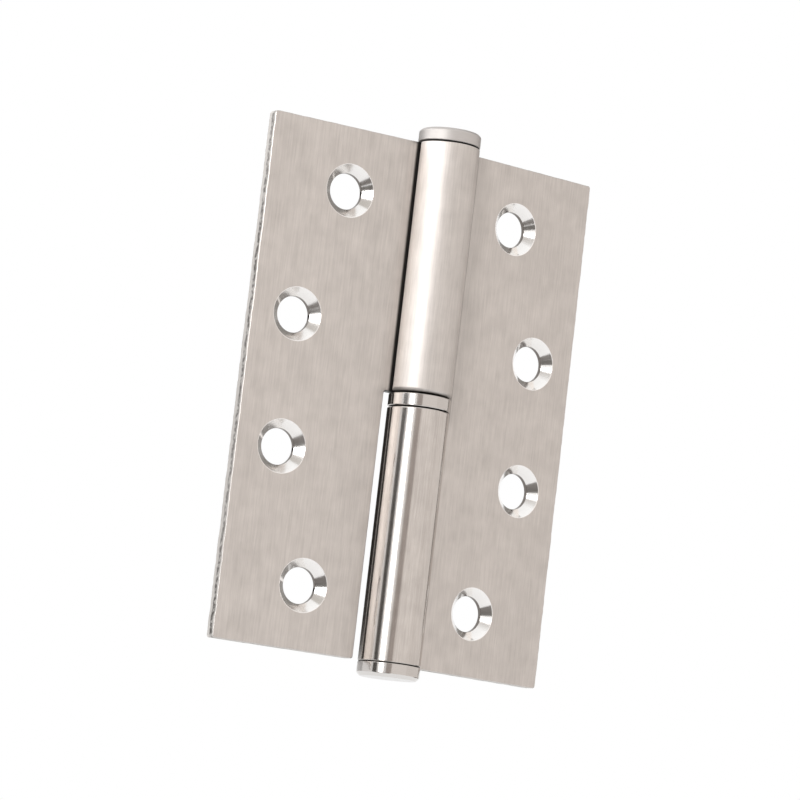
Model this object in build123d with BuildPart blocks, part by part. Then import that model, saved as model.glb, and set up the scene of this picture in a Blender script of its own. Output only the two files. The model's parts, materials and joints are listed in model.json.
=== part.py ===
# Lift-off door hinge: two leaves rolled from sheet, a fixed pin, a thrust washer and two knuckle caps.

from build123d import *

import os
from math import asin, atan2, cos, degrees, radians, sin, sqrt

# Driving dimensions, in millimetres and degrees

# Leaves
leaf_height = 100.0
leaf_reach = 37.5  # from the pin's axis to the free edge
sheet = 2.5
closing_gap = 2.4  # between the two front faces when the hinge is shut
open_past_flat = 8.0  # at rest, beyond the pose with both leaves in one plane
corner_radius = 0.5  # of the blank's corners, seen from the front
edge_chamfer = 0.25  # along the blank's edges, and so round the knuckles' rims

# Knuckles, rolled round the pin
knuckle_bore = 7.0
swage_radius = 2.0  # inside radius of the bend between leaf and knuckle
seam_gap = 0.3  # from the rolled end to the leaf's front face
rolled_end_radius = 0.4
relief_gap = 1.3  # from one leaf's cut edge to the other leaf's knuckle

# Screw holes, in a zigzag
hole_diameter = 6.9
countersink_diameter = 10.2
countersink_angle = 90.0
near_hole_reach = 19.7  # from the pin's axis
far_hole_reach = 27.8
near_hole_spacing = 75.6
far_hole_spacing = 25.2

# Thrust washer
washer_thickness = 2.8
washer_chamfer = 0.25

# Pin
pin_clearance = 0.05  # radial, in the washer and the upper knuckle
pin_end_gap = 2.6  # from the pin's tip to the top cap's spigot
pin_tip_chamfer = 1.0
pin_tip_radius = 0.5

# Caps
cap_thickness = 2.8
cap_chamfer = 0.6
cap_seam_chamfer = 0.25
spigot_length = 4.0
spigot_chamfer = 0.4

# Sizes that follow
bore_radius = knuckle_bore / 2
knuckle_radius = bore_radius + sheet
knuckle_length = (leaf_height - washer_thickness) / 2
leaf_front = closing_gap / 2  # behind the pin's axis, as is the next
leaf_back = leaf_front + sheet
relief_reach = knuckle_radius + relief_gap
half_height = leaf_height / 2
half_washer = washer_thickness / 2

# The part's own frame: the origin lies on the frame leaf's back face, amid its screw holes
pin_x = -(near_hole_reach + far_hole_reach) / 2
pin_y = -leaf_back
pin_line = Axis((pin_x, pin_y, 0), (0, 0, 1))
turning_line = Axis((pin_x, pin_y, 0), (0, 1, 0))

# Planes parallel to the frame leaf, with X along it and Y up: through the pin, and on the leaf's front face
through_pin = Plane(origin=(pin_x, pin_y, 0), x_dir=(1, 0, 0), z_dir=(0, -1, 0))
front_face = through_pin.offset(-leaf_front)


# Plane across the pin at a height, with X along the frame leaf and Y towards its back
def across_pin(z):
    return Plane(origin=(pin_x, pin_y, z))


# Point at a distance from the pin's axis, at an angle from the frame leaf's direction
def polar(radius, angle):
    return (radius * cos(radians(angle)), radius * sin(radians(angle)))


# Bend between leaf and knuckle: its centre is behind the leaf, and its faces touch the knuckle's two circles
swage_y = leaf_back + swage_radius
swage_x = sqrt((knuckle_radius + swage_radius) ** 2 - swage_y**2)
swage_angle = degrees(atan2(swage_y, swage_x))


# Start, middle and end of one face of that bend, from the leaf to the knuckle
def bend(radius):
    points = []
    for angle in (90, (90 + swage_angle) / 2, swage_angle):
        away_x, away_y = polar(radius, angle)
        points.append((swage_x - away_x, swage_y - away_y))
    return points


back_bend = bend(swage_radius)
front_bend = bend(swage_radius + sheet)

# The curl runs round the pin and ends just short of the leaf's front face
curl_end = 360 + degrees(asin((leaf_front - seam_gap) / knuckle_radius))
curl_middle = (swage_angle + curl_end) / 2
rolled_corners = [polar(knuckle_radius, curl_end), polar(bore_radius, curl_end)]

# Frame leaf, with the lower knuckle
with BuildPart() as frame_leaf:
    with BuildSketch(across_pin(-half_height)) as rolled_section:
        with BuildLine():
            Polyline(front_bend[0], (leaf_reach, leaf_front), (leaf_reach, leaf_back), back_bend[0])
            ThreePointArc(*back_bend)
            ThreePointArc(back_bend[2], polar(knuckle_radius, curl_middle), rolled_corners[0])
            Line(*rolled_corners)
            ThreePointArc(rolled_corners[1], polar(bore_radius, curl_middle), front_bend[2])
            ThreePointArc(*reversed(front_bend))
        make_face()
        for corner in rolled_corners:
            fillet(rolled_section.vertices().sort_by_distance(corner)[0], rolled_end_radius)
    extrude(amount=leaf_height)
    # The sheet is cut back beside the washer and the other leaf's knuckle
    with BuildSketch(through_pin):
        with Locations((relief_reach, half_height)):
            Rectangle(
                relief_reach + 2 * knuckle_radius,
                leaf_height - knuckle_length,
                align=(Align.MAX, Align.MAX),
            )
    extrude(amount=2 * knuckle_radius, both=True, mode=Mode.SUBTRACT)
    fillet(frame_leaf.edges().filter_by(Axis.Y), corner_radius)
    # Countersunk holes, mouths on the front face
    near_pair = [(near_hole_reach, side * near_hole_spacing / 2) for side in (-1, 1)]
    far_pair = [(far_hole_reach, side * far_hole_spacing / 2) for side in (-1, 1)]
    with Locations(front_face):
        with Locations(near_pair + far_pair):
            CounterSinkHole(
                hole_diameter / 2, countersink_diameter / 2, counter_sink_angle=countersink_angle
            )
    # Broken edges: the outlines of the two flat faces lead round the knuckle's rims as well
    flat_faces = frame_leaf.faces().filter_by(Axis.Y).sort_by(Axis.Y)
    outlines = flat_faces[0].outer_wire().edges() + flat_faces[-1].outer_wire().edges()
    bend_start = pin_x + swage_x
    chamfer([edge for edge in outlines if edge.center().X > bend_start + corner_radius / 2], edge_chamfer)
frame_leaf.part.label = "frame_leaf"

# Door leaf: the same blank turned end for end, so its knuckle is the upper one
with BuildPart() as door_leaf:
    add(frame_leaf.part.rotate(turning_line, 180).rotate(pin_line, -open_past_flat))
door_leaf.part.label = "door_leaf"

# Thrust washer, between the knuckles
with BuildPart() as thrust_washer:
    with BuildSketch(across_pin(-half_washer)):
        Circle(knuckle_radius)
        Circle(bore_radius, mode=Mode.SUBTRACT)
    extrude(amount=washer_thickness)
    outer_rims = thrust_washer.edges().filter_by(GeomType.CIRCLE).group_by(lambda e: e.radius)[-1]
    chamfer(outer_rims, washer_chamfer)
thrust_washer.part.label = "thrust_washer"

# Pin: tight in the lower knuckle, a running fit above it, with a tapered and rounded tip
pin_foot = -half_height + spigot_length
pin_top = half_height - spigot_length - pin_end_gap
running_radius = bore_radius - pin_clearance
with BuildPart() as pin:
    with BuildSketch(through_pin):
        with BuildLine():
            Polyline(
                (0, pin_foot),
                (bore_radius - spigot_chamfer, pin_foot),
                (bore_radius, pin_foot + spigot_chamfer),
                (bore_radius, -half_washer),
                (running_radius, -half_washer),
                (running_radius, pin_top - pin_tip_chamfer),
                (running_radius - pin_tip_chamfer, pin_top),
                (0, pin_top),
                close=True,
            )
        make_face()
    revolve(axis=pin_line)
    tip_rims = pin.edges().filter_by(GeomType.CIRCLE).group_by(Axis.Z)[-2:]
    fillet(tip_rims[0] + tip_rims[1], pin_tip_radius)
pin.part.label = "pin"


# Turned profile of a cap, from the seam with the knuckle outwards, for the upper end or the lower one
def cap_profile(side):
    seam = side * half_height
    Polyline(
        (0, seam - side * spigot_length),
        (bore_radius - spigot_chamfer, seam - side * spigot_length),
        (bore_radius, seam - side * (spigot_length - spigot_chamfer)),
        (bore_radius, seam),
        (knuckle_radius, seam),
        (knuckle_radius, seam + side * cap_thickness),
        (0, seam + side * cap_thickness),
        close=True,
    )


# Top cap, pressed into the upper knuckle
with BuildPart() as top_cap:
    with BuildSketch(through_pin):
        with BuildLine():
            cap_profile(1)
        make_face()
    revolve(axis=pin_line)
    flange_rims = top_cap.edges().filter_by(GeomType.CIRCLE).group_by(lambda e: e.radius)[-1]
    chamfer(flange_rims.sort_by(Axis.Z)[-1], cap_chamfer)
    chamfer(flange_rims.sort_by(Axis.Z)[0], cap_seam_chamfer)
top_cap.part.label = "top_cap"

# Bottom cap, pressed into the lower knuckle
with BuildPart() as bottom_cap:
    with BuildSketch(through_pin):
        with BuildLine():
            cap_profile(-1)
        make_face()
    revolve(axis=pin_line)
    flange_rims = bottom_cap.edges().filter_by(GeomType.CIRCLE).group_by(lambda e: e.radius)[-1]
    chamfer(flange_rims.sort_by(Axis.Z)[0], cap_chamfer)
    chamfer(flange_rims.sort_by(Axis.Z)[-1], cap_seam_chamfer)
bottom_cap.part.label = "bottom_cap"

os.makedirs("parts", exist_ok=True)
for piece in (frame_leaf, door_leaf, thrust_washer, pin, top_cap, bottom_cap):
    export_step(piece.part, "parts/" + piece.part.label + ".step")
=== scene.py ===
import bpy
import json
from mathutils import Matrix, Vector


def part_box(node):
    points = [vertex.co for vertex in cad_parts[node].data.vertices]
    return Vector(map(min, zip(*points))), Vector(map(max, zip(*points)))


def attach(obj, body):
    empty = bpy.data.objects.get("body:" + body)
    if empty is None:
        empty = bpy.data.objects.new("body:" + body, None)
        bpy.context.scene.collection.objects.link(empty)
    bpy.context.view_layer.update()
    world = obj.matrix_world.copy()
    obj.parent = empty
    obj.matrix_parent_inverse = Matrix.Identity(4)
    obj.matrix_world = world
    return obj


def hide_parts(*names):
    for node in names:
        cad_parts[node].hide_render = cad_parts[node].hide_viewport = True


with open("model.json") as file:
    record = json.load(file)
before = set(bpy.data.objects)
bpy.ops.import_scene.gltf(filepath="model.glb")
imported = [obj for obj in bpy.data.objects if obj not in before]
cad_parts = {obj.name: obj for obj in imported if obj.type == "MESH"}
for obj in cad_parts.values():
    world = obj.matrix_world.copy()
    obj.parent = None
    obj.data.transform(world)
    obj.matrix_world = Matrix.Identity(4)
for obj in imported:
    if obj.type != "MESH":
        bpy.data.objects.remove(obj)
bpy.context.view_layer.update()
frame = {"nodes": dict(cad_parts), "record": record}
print("frame loaded:", sorted(frame["nodes"]))

import json
import math

import bpy
from mathutils import Matrix, Vector, geometry, noise

# Shapes are worked out in millimetres about the pin's middle, and turned into metres at the end
mm = 0.001
closeBy = 1.0  # how near an edge or an end a point has to be to count as part of it
mostly = 0.5  # how much of a normal has to point one way to count as facing it
samePlace = 1e-6  # points closer together than this are one


def spanOf(node):
    low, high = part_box(node)
    return low / mm, high / mm


washerLow, washerHigh = spanOf("thrust_washer")
pinLow, pinHigh = spanOf("pin")
_, leafHigh = spanOf("frame_leaf")
_, capHigh = spanOf("top_cap")
pinMiddle = Vector(((washerLow.x + washerHigh.x) / 2, (washerLow.y + washerHigh.y) / 2, 0))
knuckleRadius = (washerHigh.x - washerLow.x) / 2
halfWasher = washerHigh.z
halfHeight = leafHigh.z
leafReach = leafHigh.x - pinMiddle.x
leafBack = -pinMiddle.y  # the frame's origin lies on the frame leaf's back face
mounts = {mount["name"]: mount for mount in frame["record"]["mounts"]}


# Shapes shared by the pieces

# The value, kept between 0 and 1
def clamped(value):
    return min(1, max(0, value))


# An open outline with its corners rounded. Corners are (x, y, radius), and the result is a list of points,
# each with the normal on the right of the way that the outline runs
def roundedOutline(corners, steps):
    found = []

    def put(point, normal):
        if not found or (found[-1][0] - point).length > samePlace:
            found.append((point, normal))

    last = len(corners) - 1
    for i, (x, y, radius) in enumerate(corners):
        corner = Vector((x, y))
        if i in (0, last):
            a, b = (0, 1) if i == 0 else (last - 1, last)
            along = (Vector(corners[b][:2]) - Vector(corners[a][:2])).normalized()
            put(corner, Vector((along.y, -along.x)))
            continue
        back = (Vector(corners[i - 1][:2]) - corner).normalized()
        ahead = (Vector(corners[i + 1][:2]) - corner).normalized()
        half = back.angle(ahead) / 2
        centre = corner + (back + ahead).normalized() * (radius / math.sin(half))
        start = corner + back * (radius / math.tan(half)) - centre
        end = corner + ahead * (radius / math.tan(half)) - centre
        side = 1 if start.dot(Vector((-back.y, back.x))) > 0 else -1
        for k in range(steps + 1):
            away = start.slerp(end, k / steps).normalized()
            put(centre + away * radius, away * side)
    return found


# Makes the object from points in millimetres, with the normals that the true surface has at them
def finishPiece(name, points, normals, faces, masks, body, node):
    facing = []
    for face in faces:
        a, b, c = (points[i] for i in face[:3])
        across = (b - a).cross(c - a)
        outwards = sum((normals[i] for i in face), Vector((0, 0, 0)))
        facing.append(face if across.dot(outwards) > 0 else face[::-1])
    mesh = bpy.data.meshes.new(name)
    mesh.from_pydata([point * mm for point in points], [], facing)
    mesh.polygons.foreach_set("use_smooth", [True] * len(mesh.polygons))
    for mask, values in masks.items():
        mesh.attributes.new(mask, "FLOAT", "POINT").data.foreach_set("value", values)
    mesh.update()
    mesh.normals_split_custom_set_from_vertices(normals)
    piece = bpy.data.objects.new(name, mesh)
    bpy.context.scene.collection.objects.link(piece)
    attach(piece, body)
    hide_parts(node)
    print(f"{name}: {len(points)} points, {len(facing)} faces")
    return piece


# Shader nodes

def addNode(tree, kind, **settings):
    made = tree.nodes.new(kind)
    for key, value in settings.items():
        setattr(made, key, value)
    return made


# Gives a socket another node's output, a colour or a number
def feed(tree, socket, value):
    if isinstance(value, bpy.types.NodeSocket):
        tree.links.new(value, socket)
    elif isinstance(value, tuple) and socket.type == "RGBA":
        socket.default_value = (*value, 1)
    else:
        socket.default_value = value


def maths(tree, operation, *values):
    made = addNode(tree, "ShaderNodeMath", operation=operation)
    for socket, value in zip(made.inputs, values):
        feed(tree, socket, value)
    return made.outputs[0]


# The value moved from one range to another, and kept within it
def mapped(tree, value, fromLow, fromHigh, toLow, toHigh):
    made = addNode(tree, "ShaderNodeMapRange")
    given = {"Value": value, "From Min": fromLow, "From Max": fromHigh, "To Min": toLow, "To Max": toHigh}
    for key, number in given.items():
        feed(tree, made.inputs[key], number)
    return made.outputs["Result"]


def blendValue(tree, share, low, high):
    made = addNode(tree, "ShaderNodeMix", data_type="FLOAT")
    for index, value in ((0, share), (2, low), (3, high)):  # the sockets that numbers use
        feed(tree, made.inputs[index], value)
    return made.outputs[0]


def blendColour(tree, share, low, high):
    made = addNode(tree, "ShaderNodeMix", data_type="RGBA")
    for index, value in ((0, share), (6, low), (7, high)):  # the sockets that colours use
        feed(tree, made.inputs[index], value)
    return made.outputs[2]


def scaledColour(tree, colour, share):
    made = addNode(tree, "ShaderNodeVectorMath", operation="SCALE")
    feed(tree, made.inputs[0], colour)
    feed(tree, made.inputs["Scale"], share)
    return made.outputs[0]


# One of the masks that the mesh carries
def maskOf(tree, name):
    return addNode(tree, "ShaderNodeAttribute", attribute_name=name).outputs["Fac"]


def placeOnPiece(tree):
    return addNode(tree, "ShaderNodeTexCoord").outputs["Object"]


def splitPlace(tree):
    apart = addNode(tree, "ShaderNodeSeparateXYZ")
    feed(tree, apart.inputs[0], placeOnPiece(tree))
    return apart.outputs


def noiseAt(tree, place, **settings):
    made = addNode(tree, "ShaderNodeTexNoise")
    feed(tree, made.inputs["Vector"], place)
    for key, value in settings.items():
        feed(tree, made.inputs[key], value)
    return made.outputs["Fac"]


# A new node group with named sockets: the outputs' names, and the inputs' names with their first values
def newGroup(name, outputs, **inputs):
    tree = bpy.data.node_groups.new(name, "ShaderNodeTree")
    for key, value in inputs.items():
        tree.interface.new_socket(key, in_out="INPUT", socket_type="NodeSocketFloat").default_value = value
    for key in outputs:
        tree.interface.new_socket(key, in_out="OUTPUT", socket_type="NodeSocketFloat")
    return tree, addNode(tree, "NodeGroupInput").outputs, addNode(tree, "NodeGroupOutput").inputs


def useGroup(tree, group, **values):
    made = addNode(tree, "ShaderNodeGroup", node_tree=group)
    for key, value in values.items():
        feed(tree, made.inputs[key], value)
    return made.outputs


def newMetal(name):
    material = bpy.data.materials.new(name)
    material.use_nodes = True
    tree = material.node_tree
    shader = tree.nodes["Principled BSDF"]
    shader.inputs["Metallic"].default_value = 1.0
    return material, tree, shader


# Lets a mask stand out from the surface by a depth in millimetres
def addBump(tree, shader, height, depth):
    bump = addNode(tree, "ShaderNodeBump")
    bump.inputs["Distance"].default_value = depth * mm
    feed(tree, bump.inputs["Height"], height)
    feed(tree, shader.inputs["Normal"], bump.outputs[0])


# Node groups, each built once and placed in the materials with their own values

# Fine streaks up and down the piece, as a belt leaves them, between 0 and 1
def makeGrain():
    tree, given, out = newGroup("BrushedGrain", ["Streaks"], Across=3200.0, Along=150.0, Roughness=0.6)
    apart = splitPlace(tree)
    joined = addNode(tree, "ShaderNodeCombineXYZ")
    for axis, scale in (("X", "Across"), ("Y", "Across"), ("Z", "Along")):
        feed(tree, joined.inputs[axis], maths(tree, "MULTIPLY", apart[axis], given[scale]))
    streaks = noiseAt(tree, joined.outputs[0], Scale=1.0, Detail=4.0, Roughness=given["Roughness"])
    feed(tree, out["Streaks"], streaks)
    return tree


# Soft cloudy patches, between 0 and 1
def makeMottle():
    tree, given, out = newGroup("Mottle", ["Patches"], Scale=300.0, Detail=3.0)
    clouds = noiseAt(tree, placeOnPiece(tree), Scale=given["Scale"], Detail=given["Detail"])
    feed(tree, out["Patches"], clouds)
    return tree


# Distance from the pin's axis: 1 inside the radius, fading to 0 over the width given
def makeNearPin():
    tree, given, out = newGroup("NearPin", ["Inside", "Distance"], Radius=0.0063, Fade=0.0006)
    shifted = addNode(tree, "ShaderNodeVectorMath", operation="SUBTRACT")
    feed(tree, shifted.inputs[0], placeOnPiece(tree))
    feed(tree, shifted.inputs[1], (pinMiddle.x * mm, pinMiddle.y * mm, 0))
    flattened = addNode(tree, "ShaderNodeVectorMath", operation="MULTIPLY")
    feed(tree, flattened.inputs[0], shifted.outputs[0])
    feed(tree, flattened.inputs[1], (1, 1, 0))
    length = addNode(tree, "ShaderNodeVectorMath", operation="LENGTH")
    feed(tree, length.inputs[0], flattened.outputs[0])
    distance = length.outputs["Value"]
    beyond = maths(tree, "SUBTRACT", distance, given["Radius"])
    share = maths(tree, "DIVIDE", beyond, given["Fade"])
    inside = addNode(tree, "ShaderNodeClamp")
    feed(tree, inside.inputs["Value"], maths(tree, "SUBTRACT", 1.0, share))
    feed(tree, out["Inside"], inside.outputs[0])
    feed(tree, out["Distance"], distance)
    return tree


# Fine rings left by a turning tool, between 0 and 1: they follow the distance from the axis and the height
def makeTurnMarks():
    tree, given, out = newGroup("TurnMarks", ["Rings"], Scale=5000.0, Detail=3.0)
    joined = addNode(tree, "ShaderNodeCombineXYZ")
    feed(tree, joined.inputs["X"], useGroup(tree, nearPinGroup)["Distance"])
    feed(tree, joined.inputs["Y"], splitPlace(tree)["Z"])
    rings = noiseAt(tree, joined.outputs[0], Scale=given["Scale"], Detail=given["Detail"])
    feed(tree, out["Rings"], rings)
    return tree


# The broken line along a sheared edge. Depth, Middle, Width and Ragged are shares of the sheet's thickness,
# and Gaps and Faint are what is left of the line in its short gaps and on its weak stretches
def makeBrokenLine():
    tree, given, out = newGroup(
        "BrokenLine", ["Line"],
        Depth=0.0, Middle=0.37, Width=0.26, Core=0.4, Ragged=0.35, Breaks=330.0, Gaps=0.25, Faint=0.7,
    )
    gapScale = 3.2  # the gaps' patches are finer than the line's own unevenness
    gapFrom = 0.42
    gapTo = 0.54
    faintScale = 0.09  # and the weak stretches' patches are much broader
    faintFrom = 0.35
    faintTo = 0.6

    uneven = useGroup(tree, mottleGroup, Scale=given["Breaks"])
    ragged = maths(tree, "MULTIPLY_ADD", uneven["Patches"], given["Ragged"], given["Depth"])
    middle = maths(tree, "MULTIPLY_ADD", given["Ragged"], 0.5, given["Middle"])
    away = maths(tree, "ABSOLUTE", maths(tree, "SUBTRACT", ragged, middle))
    core = maths(tree, "MULTIPLY", given["Width"], given["Core"])
    line = mapped(tree, away, core, given["Width"], 1.0, 0.0)
    gapBreaks = maths(tree, "MULTIPLY", given["Breaks"], gapScale)
    gaps = useGroup(tree, mottleGroup, Scale=gapBreaks)
    broken = mapped(tree, gaps["Patches"], gapFrom, gapTo, given["Gaps"], 1.0)
    faintBreaks = maths(tree, "MULTIPLY", given["Breaks"], faintScale)
    stretches = useGroup(tree, mottleGroup, Scale=faintBreaks, Detail=0.0)
    strong = mapped(tree, stretches["Patches"], faintFrom, faintTo, given["Faint"], 1.0)
    feed(tree, out["Line"], maths(tree, "MULTIPLY", maths(tree, "MULTIPLY", line, broken), strong))
    return tree


# How much of the colour is kept under the painted shade in the crevice beside the rolled end
def makeCreviceShade():
    tree, given, out = newGroup("CreviceShade", ["Kept"], OnFront=1.0, Radius=0.00625, Fade=0.0004, Left=0.12)
    beside = useGroup(tree, nearPinGroup, Radius=given["Radius"], Fade=given["Fade"])
    hidden = maths(tree, "MULTIPLY", beside["Inside"], given["OnFront"])
    feed(tree, out["Kept"], blendValue(tree, hidden, 1.0, given["Left"]))
    return tree


# How much of the colour is kept beside the other knuckle: a soft shade, and a fine line along the cut edge
def makeContactShade():
    tree, given, out = newGroup(
        "ContactShade", ["Kept"],
        OnFront=1.0, Shade=0.13, Reach=0.01, Fade=0.0033,
        Line=0.4, LineReach=0.0087, LineFade=0.00022, Foot=-0.0056, Top=-0.0014,
    )
    above = mapped(tree, splitPlace(tree)["Z"], given["Foot"], given["Top"], 0.0, 1.0)
    broad = useGroup(tree, nearPinGroup, Radius=given["Reach"], Fade=given["Fade"])
    narrow = useGroup(tree, nearPinGroup, Radius=given["LineReach"], Fade=given["LineFade"])
    lost = maths(tree, "MULTIPLY", broad["Inside"], given["Shade"])
    lost = maths(tree, "MULTIPLY_ADD", narrow["Inside"], given["Line"], lost)
    there = maths(tree, "MULTIPLY", above, given["OnFront"])
    feed(tree, out["Kept"], maths(tree, "SUBTRACT", 1.0, maths(tree, "MULTIPLY", lost, there)))
    return tree


grainGroup = makeGrain()
mottleGroup = makeMottle()
nearPinGroup = makeNearPin()
turnMarksGroup = makeTurnMarks()
brokenLineGroup = makeBrokenLine()
creviceShadeGroup = makeCreviceShade()
contactShadeGroup = makeContactShade()
print("shader groups ready")


# The leaves: a flat blank with its holes, given thickness and rounded edges, and then rolled up

leafSettings = {
    # Form, in millimetres and degrees
    "sheet": 2.5,
    "swage": 2.0,  # inside radius of the bend between leaf and knuckle
    "seamGap": 0.55,  # from the rolled end to the leaf's front face, a little more than in the CAD model
    "relief": 1.3,  # between the cut edge and the other knuckle
    "openPastFlat": 8.0,
    "cornerRadius": 0.5,
    "edgeRadius": 0.17,
    "rolledEndRadius": 0.35,
    "innerRimRadius": 0.3,  # of the knuckle's rim beside the washer
    "innerRimFade": 3.0,  # how far along the curl that rim takes to get its radius
    "countersink": 5.1,  # radius of a screw hole's mouth
    "lip": 0.2,  # rounding of a screw hole's edges
    # Sheared edges
    "edgeWander": 0.15,  # how far the free edge strays from straight
    "otherWander": 0.05,  # and the other sheared edges
    "wanderWaves": ((0.35, 3.7, 0.7), (1.1, 9.1, 0.6)),  # scale per millimetre, layer, weight
    "wanderBias": 0.35,
    "wanderFade": 2.0,  # before the bend
    # Mesh
    "curlStep": 2.5,  # degrees
    "edgeStep": 0.7,
    "acrossStep": 4.0,
    "holeSteps": 96,
    "cornerSteps": 5,
    "roundingSteps": 4,
    # Which part of a rounded edge has which finish, by how far it leans from the leaf's faces
    "shearedLean": (0.6, 0.8),  # where the sheared finish starts, and where it is full
    "cutEdgeLean": (0.2, 0.5333),  # the same on the cut edge beside the other knuckle
    "coneLean": 0.625,  # where a screw hole's cone has its own finish in full
    "lipLean": 0.1,  # where its bright lip starts
    "lipReach": 0.8,  # from the mouth inwards, as a share of its rounding
    "landSlack": 0.05,  # beyond the hole's own radius and still its wall
    # Satin sheet
    "light": (0.80, 0.749, 0.711),
    "dark": (0.38, 0.355, 0.336),
    "grainAcross": 3200.0,  # per metre
    "grainAlong": 150.0,
    "clouds": 260.0,
    "cloudShare": 0.4,  # of the tone, and the rest is grain
    "grainDepth": 0.003,
    "brushing": 0.6,  # how much the grain draws out the gloss
    "satin": 0.34,  # roughness
    "satinSpread": 0.10,
    "knuckleRoughness": 0.12,
    "knuckleMargin": 1.02,  # how far that reaches, in knuckle radii
    "knuckleFade": 0.5,
    # Finish of the sheared edges
    "torn": (0.72, 0.69, 0.66),
    "tornLine": (0.145, 0.135, 0.125),  # the broken line along them
    "lineDepth": 0.37,  # share of the sheet's thickness, from the front
    "lineWidth": 0.26,
    "lineCore": 0.4,  # share of the width with the full colour
    "lineRagged": 0.35,
    "lineGaps": 0.25,  # what is left of the line in its gaps
    "lineFaint": 0.7,  # and on its weak stretches
    "breaks": 330.0,
    "shearedRoughness": 0.42,
    # painted shade, near black, on the cut edge that faces the other knuckle
    "reliefEdgeShade": (0.05, 0.046, 0.042),  # the cut edge that faces the other knuckle
    "reliefMargin": 0.4,
    "reliefFade": 0.3,
    # Finish of the screw holes
    "bored": (0.90, 0.88, 0.86),  # their cones
    # painted shade on the walls within the screw holes
    "shadedLand": (0.20, 0.18, 0.165),  # the walls within them
    # painted highlight on the screw holes' lips
    "lipHighlight": (0.97, 0.95, 0.93),
    "boredRoughness": 0.16,
    # Shade on the front
    "frontDepth": 0.25,  # share of the sheet's thickness that counts as front
    # painted shade in the crevice beside the rolled end
    "creviceShade": 0.12,  # what is left of the colour in the crevice beside the rolled end
    "creviceReach": 0.25,  # beyond the knuckle
    "creviceFade": 0.4,
    "shade": 0.0,  # how much of the colour goes beside the other knuckle
    "shadeReach": 10.0,  # from the pin's axis
    "shadeFade": 3.3,
    "shadeLine": 0.0,  # and how much along the cut edge there
    "shadeLineReach": 8.7,
    "shadeLineFade": 0.22,
    "shadeFoot": 4.2,  # how far below the washer it ends
}


class Roll:
    # The way that the sheet's middle takes, measured from the free edge: flat, bent back, and then curled
    # round the pin
    def __init__(self, shape):
        sheet = shape["sheet"]
        self.front = leafBack - sheet
        self.bore = knuckleRadius - sheet
        self.bendRadius = shape["swage"] + sheet
        rise = leafBack + shape["swage"]
        self.centre = Vector((math.sqrt((knuckleRadius + shape["swage"]) ** 2 - rise**2), rise))
        self.turn = math.atan2(self.centre.y, self.centre.x)
        self.bendMiddle = shape["swage"] + sheet / 2
        self.curlMiddle = self.bore + sheet / 2
        curl = 2 * math.pi + math.asin((self.front - shape["seamGap"]) / knuckleRadius) - self.turn
        self.bendStart = leafReach - self.centre.x
        self.curlStart = self.bendStart + self.bendMiddle * (math.pi / 2 - self.turn)
        self.end = self.curlStart + self.curlMiddle * curl

    # Place at a distance along the sheet and a depth behind its front face, with the directions onwards and
    # deeper there
    def at(self, along, depth):
        if along <= self.bendStart:
            return Vector((leafReach - along, self.front + depth)), Vector((-1, 0)), Vector((0, 1))
        if along <= self.curlStart:
            angle = math.pi / 2 - (along - self.bendStart) / self.bendMiddle
            deeper = Vector((math.cos(angle), math.sin(angle)))
            return self.centre - deeper * (self.bendRadius - depth), Vector((-deeper.y, deeper.x)), deeper
        angle = self.turn + (along - self.curlStart) / self.curlMiddle
        deeper = Vector((math.cos(angle), math.sin(angle)))
        return deeper * (self.bore + depth), Vector((-deeper.y, deeper.x)), deeper


# Lines across the sheet, close enough together for a smooth bend and curl
def linesAcross(roll, shape):
    step = math.radians(shape["curlStep"])
    bendSteps = math.ceil((math.pi / 2 - roll.turn) / step)
    margin = shape["cornerRadius"] + shape["edgeRadius"]
    curlEnd = roll.end - margin
    curlSteps = math.ceil((curlEnd - roll.curlStart) / (roll.curlMiddle * step))
    bends = [roll.bendStart + (roll.curlStart - roll.bendStart) * i / bendSteps for i in range(bendSteps)]
    curls = [roll.curlStart + (curlEnd - roll.curlStart) * i / curlSteps for i in range(curlSteps + 1)]
    return bends + curls


# Distance along the sheet of the edge that is cut back beside the other knuckle
def cutEdgeAt(shape):
    return leafReach - knuckleRadius - shape["relief"]


# The blank's outline, with points where the lines across meet it and close together on the sheared edges
def blankOutline(roll, shape, lines):
    radius = shape["cornerRadius"]
    corners = [
        (0, 0, 0),
        (0, -halfHeight, radius),
        (roll.end, -halfHeight, radius),
        (roll.end, -halfWasher, radius),
        (cutEdgeAt(shape), -halfWasher, radius),
        (cutEdgeAt(shape), halfHeight, radius),
        (0, halfHeight, radius),
        (0, 0, 0),
    ]
    rounded = roundedOutline(corners, shape["cornerSteps"])
    found = []
    for (here, normal), (there, _) in zip(rounded, rounded[1:]):
        found.append((here, normal))
        run = there - here
        if run.length < 1.5 * shape["edgeStep"]:  # too short to be divided
            continue
        stops = set()
        alongSheet = abs(run.x) > closeBy
        if alongSheet:
            low, high = sorted((here.x, there.x))
            stops = {line for line in lines if low < line < high}
            high = min(high, lines[0])
        else:
            low, high = sorted((here.y, there.y))
        pieces = max(1, round((high - low) / shape["edgeStep"]))
        if high > low:
            stops |= {low + (high - low) * i / pieces for i in range(1, pieces)}
        for stop in sorted(stops, reverse=run.x + run.y < 0):
            found.append((Vector((stop, here.y)) if alongSheet else Vector((here.x, stop)), normal))
    wandering = []
    for point, normal in found:
        fade = clamped((roll.bendStart - point.x) / shape["wanderFade"])
        stray = 0
        for scale, layer, weight in shape["wanderWaves"]:
            stray += noise.noise(Vector((point.x * scale, point.y * scale, layer))) * weight
        reach = shape["edgeWander"] if normal.x < -mostly else shape["otherWander"]
        wandering.append((point - normal * (reach * fade * max(0, stray + shape["wanderBias"])), normal))
    return wandering


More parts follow.
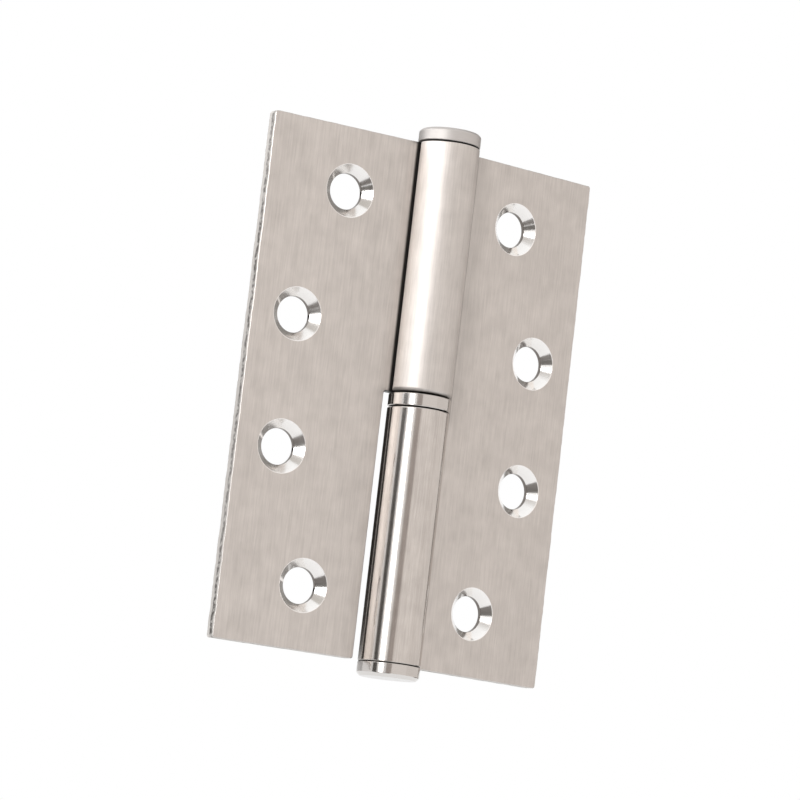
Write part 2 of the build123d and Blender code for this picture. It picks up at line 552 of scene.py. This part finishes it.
# How much rounder than the rest an edge is: the rolled end, and the knuckle's rim beside the washer
def rimGrowth(point, normal, roll, shape):
    if normal.x > mostly and point.x > roll.end - closeBy:
        return shape["rolledEndRadius"] / shape["edgeRadius"]
    curled = clamped((point.x - roll.curlStart) / shape["innerRimFade"])
    if normal.y > mostly and curled > 0:
        return 1 + curled * (shape["innerRimRadius"] / shape["edgeRadius"] - 1)
    return 1


# How much of the sheared finish a point on the rounded rim has
def shearedShare(point, lean, shape):
    besideKnuckle = abs(point.x - cutEdgeAt(shape)) < closeBy and point.y > -halfWasher - closeBy
    start, full = shape["cutEdgeLean"] if besideKnuckle else shape["shearedLean"]
    return clamped((abs(lean.x) - start) / (full - start))


# What a point on a screw hole's wall is made of: the cone, the land within it with painted shade, or the
# lip round it with a painted highlight
def boredShares(spot, lean, radius, shape):
    if spot.x < radius + shape["landSlack"]:
        return {"bored": 1, "shadedLand": 1}
    atMouth = spot.y < 2 * shape["lip"] and spot.x > shape["countersink"] - shape["lipReach"] * shape["lip"]
    lip = 1 if atMouth and lean.x < -shape["lipLean"] else 0
    return {"bored": min(1, abs(lean.x) / shape["coneLean"]), "lip": lip}


# The leaf's screw holes, as (distance along the sheet, height, radius)
def screwHoles():
    holes = []
    for mountName in ("frame_leaf_near_holes", "frame_leaf_far_holes"):
        mount = mounts[mountName]
        reach = mount["pos_m"][0] / mm - pinMiddle.x
        spacing = mount["dims"]["spacing_y_mm"]
        for side in (-1, 1):
            holes.append((leafReach - reach, side * spacing / 2, mount["dims"]["hole_r_mm"]))
    return holes


def buildLeaf(name, place, body, node, shape):
    roll = Roll(shape)
    sheet, edge, lip, sunk = shape["sheet"], shape["edgeRadius"], shape["lip"], shape["countersink"]
    lines = linesAcross(roll, shape)
    outline = blankOutline(roll, shape, lines)
    flat, faces = [], []  # each point is (along, height, depth, normal, shares of its kinds of surface)

    def addRing(ring):
        start = len(flat)
        flat.extend(ring)
        return list(range(start, start + len(ring)))

    def joinRings(rings):
        for first, second in zip(rings, rings[1:]):
            for i in range(len(first)):
                j = (i + 1) % len(first)
                faces.append((first[i], first[j], second[j], second[i]))

    rimCorners = [(edge, sheet, 0), (0, sheet, edge), (0, 0, edge), (edge, 0, 0)]
    rimRings = []
    for spot, lean in roundedOutline(rimCorners, shape["roundingSteps"]):
        ring = []
        for point, normal in outline:
            growth = rimGrowth(point, normal, roll, shape)
            inset = point - normal * (spot.x * growth)
            depth = spot.y * growth if spot.y < sheet / 2 else sheet - (sheet - spot.y) * growth
            tilt = Vector((normal.x * -lean.x, normal.y * -lean.x, lean.y))
            ring.append((inset.x, inset.y, depth, tilt, {"sheared": shearedShare(point, lean, shape)}))
        rimRings.append(addRing(ring))
    joinRings(rimRings)

    holeRings = []
    for along, height, radius in screwHoles():
        wallCorners = [
            (radius + 2 * lip, sheet, 0),
            (radius, sheet, lip),
            (radius, sunk - radius, lip),
            (sunk, 0, lip),
            (sunk + 2 * lip, 0, 0),
        ]
        rings = []
        for spot, lean in roundedOutline(wallCorners, shape["roundingSteps"]):
            ring = []
            for i in range(shape["holeSteps"]):
                angle = 2 * math.pi * i / shape["holeSteps"]
                away = Vector((math.cos(angle), math.sin(angle)))
                point = Vector((along, height)) + away * spot.x
                tilt = Vector((away.x * lean.x, away.y * lean.x, lean.y))
                ring.append((point.x, point.y, spot.y, tilt, boredShares(spot, lean, radius, shape)))
            rings.append(addRing(ring))
        joinRings(rings)
        holeRings.append(rings)

    # Fills the front or the back between the rim and the holes, with the lines across kept as edges
    def fillSide(rimRing, openings, depth, facing):
        onLine = 1e-4  # the vectors' own precision
        mergeWithin = 1e-7
        insideOnly = 1  # leaves out the triangles beyond the rim
        known = {}
        for index in rimRing + [i for opening in openings for i in opening]:
            known[index] = len(known)
        order = list(known)
        edges = []
        for loop in [rimRing, *openings]:
            edges += [(known[a], known[b]) for a, b in zip(loop, loop[1:] + loop[:1])]
        for line in lines:
            ends = sorted((i for i in rimRing if abs(flat[i][0] - line) < onLine), key=lambda i: flat[i][1])
            low, high = flat[ends[0]][1], flat[ends[-1]][1]
            count = round((high - low) / shape["acrossStep"])
            between = [
                (line, low + (high - low) * k / count, depth, Vector((0, 0, facing)), {})
                for k in range(1, count)
            ]
            chain = [ends[0], *addRing(between), ends[-1]]
            for index in chain[1:-1]:
                known[index] = len(known)
                order.append(index)
            edges += [(known[a], known[b]) for a, b in zip(chain, chain[1:])]
        spots = [Vector(flat[index][:2]) for index in order]
        filled = geometry.delaunay_2d_cdt(spots, edges, [], insideOnly, mergeWithin)
        triangles, origins = filled[2:4]
        for triangle in triangles:
            corners = tuple(order[origins[i][0]] for i in triangle)
            # One with all its corners on the same opening lies across it
            if not any(opening[0] <= min(corners) and max(corners) <= opening[-1] for opening in openings):
                faces.append(corners)

    fillSide(rimRings[0], [rings[0] for rings in holeRings], sheet, 1)
    fillSide(rimRings[-1], [rings[-1] for rings in holeRings], 0, -1)

    points, normals = [], []
    for along, height, depth, tilt, _ in flat:
        spot, onwards, deeper = roll.at(along, depth)
        points.append(place @ Vector((spot.x, spot.y, height)))
        across = onwards * tilt.x + deeper * tilt.z
        normals.append((place.to_3x3() @ Vector((across.x, across.y, tilt.y))).normalized())
    kinds = ("sheared", "bored", "lip", "shadedLand")
    masks = {kind: [point[4].get(kind, 0) for point in flat] for kind in kinds}
    masks["depth"] = [point[2] / sheet for point in flat]
    return finishPiece(name, points, normals, faces, masks, body, node)


def leafSteel(name, finish):
    material, tree, shader = newMetal(name)
    shader.inputs["Anisotropic"].default_value = finish["brushing"]
    sheared, bored, depth = maskOf(tree, "sheared"), maskOf(tree, "bored"), maskOf(tree, "depth")
    onFront = mapped(tree, depth, 0.0, finish["frontDepth"], 1.0, 0.0)

    # Satin sheet, with painted shade in the crevice and beside the other knuckle
    grain = useGroup(tree, grainGroup, Across=finish["grainAcross"], Along=finish["grainAlong"])
    clouds = useGroup(tree, mottleGroup, Scale=finish["clouds"])
    cloudy = maths(tree, "MULTIPLY", clouds["Patches"], finish["cloudShare"])
    tone = maths(tree, "MULTIPLY_ADD", grain["Streaks"], 1 - finish["cloudShare"], cloudy)
    creviceShade = useGroup(
        tree, creviceShadeGroup, OnFront=onFront, Left=finish["creviceShade"],
        Radius=(knuckleRadius + finish["creviceReach"]) * mm, Fade=finish["creviceFade"] * mm,
    )
    contact = useGroup(
        tree, contactShadeGroup, OnFront=onFront,
        Shade=finish["shade"], Reach=finish["shadeReach"] * mm, Fade=finish["shadeFade"] * mm,
        Line=finish["shadeLine"], LineReach=finish["shadeLineReach"] * mm,
        LineFade=finish["shadeLineFade"] * mm,
        Foot=(-halfWasher - finish["shadeFoot"]) * mm, Top=-halfWasher * mm,
    )
    satin = blendColour(tree, tone, finish["dark"], finish["light"])
    satin = scaledColour(tree, scaledColour(tree, satin, creviceShade["Kept"]), contact["Kept"])

    # Sheared edges, with a broken line along them, and painted shade where they face the other knuckle
    broken = useGroup(
        tree, brokenLineGroup, Depth=depth, Middle=finish["lineDepth"], Width=finish["lineWidth"],
        Core=finish["lineCore"], Ragged=finish["lineRagged"], Breaks=finish["breaks"],
        Gaps=finish["lineGaps"], Faint=finish["lineFaint"],
    )
    reliefRadius = (knuckleRadius + finish["relief"] + finish["reliefMargin"]) * mm
    facingPin = useGroup(tree, nearPinGroup, Radius=reliefRadius, Fade=finish["reliefFade"] * mm)
    edgeColour = blendColour(tree, broken["Line"], finish["torn"], finish["tornLine"])
    # painted shade on the cut edge facing the other knuckle
    edgeColour = blendColour(tree, facingPin["Inside"], edgeColour, finish["reliefEdgeShade"])

    colour = blendColour(tree, sheared, satin, edgeColour)
    colour = blendColour(tree, bored, colour, finish["bored"])
    # painted shade on the screw holes' walls
    colour = blendColour(tree, maskOf(tree, "shadedLand"), colour, finish["shadedLand"])
    # painted highlight on the screw holes' lips
    colour = blendColour(tree, maskOf(tree, "lip"), colour, finish["lipHighlight"])
    feed(tree, shader.inputs["Base Color"], colour)

    knuckle = useGroup(
        tree, nearPinGroup,
        Radius=knuckleRadius * finish["knuckleMargin"] * mm, Fade=finish["knuckleFade"] * mm,
    )
    spread = finish["satinSpread"]
    rough = maths(tree, "MULTIPLY_ADD", grain["Streaks"], spread, finish["satin"] - spread / 2)
    rough = blendValue(tree, knuckle["Inside"], rough, finish["knuckleRoughness"])
    rough = blendValue(tree, sheared, rough, finish["shearedRoughness"])
    rough = blendValue(tree, bored, rough, finish["boredRoughness"])
    feed(tree, shader.inputs["Roughness"], rough)
    addBump(tree, shader, grain["Streaks"], finish["grainDepth"])
    return material


atPin = Matrix.Translation(pinMiddle)
turnedOver = Matrix.Rotation(math.pi, 4, "Y")  # the door leaf is the same blank, end for end
swungOpen = Matrix.Rotation(-math.radians(leafSettings["openPastFlat"]), 4, "Z")

frameLeafSettings = leafSettings | {
    "shade": 0.13,
    "shadeLine": 0.40,
}
frameLeaf = buildLeaf("frameLeafSheet", atPin, "frame_side", "frame_leaf", frameLeafSettings)
frameLeaf.data.materials.append(leafSteel("satinFrameLeaf", frameLeafSettings))

doorLeafSettings = leafSettings | {
    "innerRimRadius": 0.9,
    "knuckleRoughness": 0.42,  # satin, and the frame leaf's knuckle is polished
}
doorPlace = atPin @ swungOpen @ turnedOver
doorLeaf = buildLeaf("doorLeafSheet", doorPlace, "door_side", "door_leaf", doorLeafSettings)
doorLeaf.data.materials.append(leafSteel("satinDoorLeaf", doorLeafSettings))
print("leaves ready")


# The turned pieces: an outline in (radius, height), spun round the pin's axis

turnedSettings = {
    # Form, in millimetres
    "softness": 0.1,  # rounding of every turned edge
    "seamDepth": 1.2,  # how far the fine gap beside a seam reaches in
    "seamChamfer": 0.12,
    # Mesh
    "around": 144,
    "roundingSteps": 4,
    # Which part has which finish
    "recessSlack": 0.1,
    "chamferLean": (0.1, 0.95),  # between a side and an end
    # Finish
    "light": (0.63, 0.60, 0.575),
    "dark": (0.55, 0.52, 0.50),
    # painted shade inside the seams
    "recess": (0.03, 0.027, 0.025),
    # painted highlight on the caps' outer chamfers
    "chamfer": (0.77, 0.745, 0.725),  # on the caps' outer ends
    "roughness": 0.12,
    "spread": 0.05,
    "rings": 5000.0,  # per metre
    "ringDepth": 0.0006,
}


# What lies inside the seams gets painted shade, dark where its height, up or down, is less than recess
def turnPiece(name, corners, closed, body, node, recess, shape):
    outline = roundedOutline(corners, shape["roundingSteps"])
    if closed:
        outline.pop()  # the same place as the first
    count = shape["around"]
    recessRadius = knuckleRadius - shape["seamDepth"] + shape["recessSlack"]
    leastLean, mostLean = shape["chamferLean"]
    points, normals, faces, rings = [], [], [], []
    # masks for the painted shade inside the seams and the painted highlight on the caps' chamfers
    masks = {"recess": [], "chamfered": []}
    for spot, lean in outline:
        start = len(points)
        onAxis = spot.x < samePlace
        inRecess = spot.x < recessRadius and abs(spot.y) < recess
        onChamfer = abs(spot.y) > halfHeight + closeBy and leastLean < abs(lean.y) < mostLean
        for i in range(1 if onAxis else count):
            angle = 2 * math.pi * i / count
            away = Vector((math.cos(angle), math.sin(angle), 0))
            points.append(pinMiddle + away * spot.x + Vector((0, 0, spot.y)))
            masks["recess"].append(inRecess)
            masks["chamfered"].append(onChamfer)
            if onAxis:
                normals.append(Vector((0, 0, math.copysign(1, lean.y))))
            else:
                normals.append(away * lean.x + Vector((0, 0, lean.y)))
        rings.append([start] * count if onAxis else list(range(start, start + count)))
    pairs = list(zip(rings, rings[1:]))
    if closed:
        pairs.append((rings[-1], rings[0]))
    for first, second in pairs:
        for i in range(count):
            j = (i + 1) % count
            ends = dict.fromkeys((first[i], first[j], second[j], second[i]))
            faces.append(tuple(ends))  # at the axis two of them are one, and the face is a triangle
    return finishPiece(name, points, normals, faces, masks, body, node)


def turnedSteel(name, finish):
    material, tree, shader = newMetal(name)
    rings = useGroup(tree, turnMarksGroup, Scale=finish["rings"])["Rings"]
    colour = blendColour(tree, rings, finish["dark"], finish["light"])
    # painted shade inside the seams
    colour = blendColour(tree, maskOf(tree, "recess"), colour, finish["recess"])
    # painted highlight on the caps' chamfers
    colour = blendColour(tree, maskOf(tree, "chamfered"), colour, finish["chamfer"])
    feed(tree, shader.inputs["Base Color"], colour)
    rough = maths(tree, "MULTIPLY_ADD", rings, finish["spread"], finish["roughness"] - finish["spread"] / 2)
    feed(tree, shader.inputs["Roughness"], rough)
    addBump(tree, shader, rings, finish["ringDepth"])
    return material


# A cap, its spigot in the bore: side is 1 for the upper end and -1 for the lower one
def capCorners(side, shape):
    bore = knuckleRadius - leafSettings["sheet"]
    foot = halfHeight - shape["spigot"]
    inner = knuckleRadius - shape["seamDepth"]
    seam = halfHeight + shape["seamWidth"]
    top = capHigh.z
    soft = shape["softness"]
    sharp = soft / 4  # at the corners inside the seam
    corners = [
        (0, foot, 0),
        (bore - shape["spigotChamfer"], foot, soft),
        (bore, foot + shape["spigotChamfer"], soft),
        (bore, halfHeight, sharp),
        (inner, halfHeight, sharp),
        (inner, seam, sharp),
        (knuckleRadius - shape["seamChamfer"], seam, soft / 2),
        (knuckleRadius, seam + shape["seamChamfer"], soft),
        (knuckleRadius, top - shape["rimChamfer"], shape["rimSoftness"]),
        (knuckleRadius - shape["rimChamfer"], top, shape["rimSoftness"]),
        (0, top, 0),
    ]
    if side > 0:
        return corners
    return [(radius, -height, rounding) for radius, height, rounding in reversed(corners)]


def washerCorners(shape):
    bore = knuckleRadius - leafSettings["sheet"]
    inner = knuckleRadius - shape["seamDepth"]
    seam = halfWasher - shape["seamWidth"]
    soft = shape["softness"]
    sharp = soft / 4  # at the corners inside the seam
    half = [
        (bore, halfWasher, sharp),
        (inner, halfWasher, sharp),
        (inner, seam, sharp),
        (knuckleRadius - shape["seamChamfer"], seam, soft / 2),
        (knuckleRadius, seam - shape["seamChamfer"], soft),
    ]
    lower = [(radius, -height, rounding) for radius, height, rounding in half]
    return [(bore, 0, 0), *lower, *reversed(half), (bore, 0, 0)]


# Tight in the lower knuckle, and a running fit above it
def pinCorners(shape):
    tight = knuckleRadius - leafSettings["sheet"]
    running = tight - shape["clearance"]
    soft, tip = shape["softness"], shape["tipChamfer"]
    return [
        (0, pinLow.z, 0),
        (tight - shape["footChamfer"], pinLow.z, soft),
        (tight, pinLow.z + shape["footChamfer"], soft),
        (tight, -halfWasher - shape["stepHeight"], shape["stepSoftness"]),
        (running, -halfWasher, shape["stepSoftness"]),
        (running, pinHigh.z - tip, shape["tipRadius"]),
        (running - tip, pinHigh.z, shape["tipRadius"]),
        (0, pinHigh.z, 0),
    ]


capSettings = turnedSettings | {
    "spigot": 4.0,
    "spigotChamfer": 0.4,
    "rimChamfer": 0.6,
    "rimSoftness": 0.25,
}
capRecess = halfHeight + closeBy

topCapSettings = capSettings | {
    "seamWidth": 0.27,
    "rimChamfer": 0.45,
    "rimSoftness": 0.4,
    "light": (0.60, 0.57, 0.55),
    "dark": (0.52, 0.495, 0.48),
    # no painted highlight on this cap: its chamfer keeps its light colour
    "chamfer": (0.60, 0.57, 0.55),
    "roughness": 0.5,
}
topCorners = capCorners(1, topCapSettings)
topCap = turnPiece("topCapTurned", topCorners, False, "door_side", "top_cap", capRecess, topCapSettings)
topCap.data.materials.append(turnedSteel("satinTurned", topCapSettings))

bottomCapSettings = capSettings | {
    "seamWidth": 0.11,
    # lighter painted shade inside this cap's seam
    "recess": (0.14, 0.13, 0.12),
}
bottomCorners = capCorners(-1, bottomCapSettings)
bottomCap = turnPiece(
    "bottomCapTurned", bottomCorners, False, "frame_side", "bottom_cap", capRecess, bottomCapSettings
)
bottomCap.data.materials.append(turnedSteel("polishedCap", bottomCapSettings))

washerSettings = turnedSettings | {
    "seamWidth": 0.2,
}
washerRecess = halfWasher + closeBy
washerRing = washerCorners(washerSettings)
washer = turnPiece(
    "washerTurned", washerRing, True, "washer", "thrust_washer", washerRecess, washerSettings
)
polished = turnedSteel("polishedTurned", washerSettings)
washer.data.materials.append(polished)

pinSettings = turnedSettings | {
    "footChamfer": 0.4,
    "clearance": 0.05,  # radial, above the lower knuckle
    "stepHeight": 0.1,
    "stepSoftness": 0.02,
    "tipChamfer": 1.0,
    "tipRadius": 0.5,
}
pinPiece = turnPiece("pinTurned", pinCorners(pinSettings), False, "frame_side", "pin", 0, pinSettings)
pinPiece.data.materials.append(polished)
print("turned pieces ready")


# Camera, at the photograph's place

cameraSettings = {
    "place": (-508.84, -623.38, -100.74),  # millimetres
    "heading": 37.784,  # degrees from +Y towards +X
    "climb": 7.312,
    "roll": 6.653,
    "lens": 187.25,
    "sensor": 36,
    "clipStart": 0.01,  # metres
}
camera = bpy.data.objects.new("camera", bpy.data.cameras.new("camera"))
bpy.context.scene.collection.objects.link(camera)
camera.location = Vector(cameraSettings["place"]) * mm
camera.rotation_euler = (
    Matrix.Rotation(-math.radians(cameraSettings["heading"]), 3, "Z")
    @ Matrix.Rotation(math.radians(90 + cameraSettings["climb"]), 3, "X")
    @ Matrix.Rotation(math.radians(cameraSettings["roll"]), 3, "Z")
).to_euler()
camera.data.sensor_width = cameraSettings["sensor"]
camera.data.lens = cameraSettings["lens"]
camera.data.clip_start = cameraSettings["clipStart"]
bpy.context.scene.camera = camera
print("camera placed")


# Studio: a white world, a pale floor, soft boxes, and pale and dark cards that only the metal sees

studioCards = {
    # Left and right in degrees from the camera, distance, low and high in metres, colour, strength
    "softBox": (-35, -19.5, 1.3, -0.1, 0.4, (1, 1, 1), 5.2),
    "upperBox": (-94, -5, 1.35, 0.25, 0.55, (1, 1, 1), 4.6),
    "highCard": (-60, -7, 1.35, 0.66, 1.9, (0.56, 0.53, 0.50), 1.0),
    "narrowFlag": (-60, -43, 1.3, -0.1, 0.2, (0.075, 0.07, 0.065), 1.0),
    "cameraSide": (-9, 11, 1.3, -0.1, 0.6, (0.50, 0.45, 0.42), 1.0),
    "frontSide": (11, 70, 1.35, -0.16, 1.2, (1.0, 0.955, 0.92), 1.0),
    "rightSide": (68, 150, 1.3, -1.0, 1.2, (0.92, 0.875, 0.84), 1.0),
    "lowFlag": (-52, 4, 0.8, -0.29, -0.03, (0.14, 0.13, 0.12), 1.0),
    "nearFlag": (-50, 8, 0.36, -0.29, -0.13, (0.18, 0.165, 0.155), 1.0),
    "sideFlag": (-168, -110, 1.3, 0.034, 0.34, (0.03, 0.027, 0.025), 1.0),
    "backFlagHigh": (119, 163, 0.42, 0.15, 1.1, (0.25, 0.235, 0.22), 1.0),
    "backFlag": (131, 156, 0.42, -0.012, 0.15, (0.25, 0.235, 0.22), 1.0),
    "backFlagLow": (117, 152, 0.42, -0.17, -0.038, (0.25, 0.235, 0.22), 1.0),
    "backFlagFoot": (117, 138, 0.42, -0.29, -0.17, (0.25, 0.235, 0.22), 1.0),
}
cardSteps = 8  # each card is bent round the hinge

cameraX, cameraY, _ = cameraSettings["place"]
toCamera = math.atan2(cameraX - pinMiddle.x, -(cameraY - pinMiddle.y))


# Place round the hinge, at an angle to the right of the camera as the hinge sees it
def placeAround(angle, distance, height):
    heading = toCamera + math.radians(angle)
    return Vector((math.sin(heading) * distance, -math.cos(heading) * distance, height)) + pinMiddle * mm


def makeCard(name, left, right, distance, low, high, colour, strength):
    points = []
    for i in range(cardSteps + 1):
        angle = left + (right - left) * i / cardSteps
        points += [placeAround(angle, distance, low), placeAround(angle, distance, high)]
    faces = [(2 * i, 2 * i + 1, 2 * i + 3, 2 * i + 2) for i in range(cardSteps)]
    mesh = bpy.data.meshes.new(name)
    mesh.from_pydata(points, [], faces)
    card = bpy.data.objects.new(name, mesh)
    bpy.context.scene.collection.objects.link(card)
    material = bpy.data.materials.new(name)
    material.use_nodes = True
    tree = material.node_tree
    tree.nodes.clear()
    glow = addNode(tree, "ShaderNodeEmission")
    glow.inputs["Color"].default_value = (*colour, 1)
    glow.inputs["Strength"].default_value = strength
    out = addNode(tree, "ShaderNodeOutputMaterial")
    tree.links.new(glow.outputs[0], out.inputs["Surface"])
    mesh.materials.append(material)
    card.visible_camera = False
    card.visible_shadow = False
    card.visible_diffuse = False


for cardName, cardSettings in studioCards.items():
    makeCard(cardName, *cardSettings)

world = bpy.data.worlds.new("whiteStudio")
bpy.context.scene.world = world
world.use_nodes = True
background = world.node_tree.nodes["Background"]
background.inputs["Color"].default_value = (1, 1, 1, 1)
background.inputs["Strength"].default_value = 1.0

floorSettings = {
    "height": -0.3,  # metres
    "half": 4,  # half its width
    "colour": (0.92, 0.92, 0.92),
    "roughness": 0.9,
}
half, height = floorSettings["half"], floorSettings["height"]
floorCorners = [(-half, -half, height), (half, -half, height), (half, half, height), (-half, half, height)]
floorMesh = bpy.data.meshes.new("floor")
floorMesh.from_pydata(floorCorners, [], [(0, 1, 2, 3)])
floor = bpy.data.objects.new("floor", floorMesh)
bpy.context.scene.collection.objects.link(floor)
floorMaterial = bpy.data.materials.new("paleFloor")
floorMaterial.use_nodes = True
floorShader = floorMaterial.node_tree.nodes["Principled BSDF"]
floorShader.inputs["Base Color"].default_value = (*floorSettings["colour"], 1)
floorShader.inputs["Roughness"].default_value = floorSettings["roughness"]
floorMesh.materials.append(floorMaterial)

bpy.context.scene.view_settings.view_transform = "Standard"
print("studio ready")
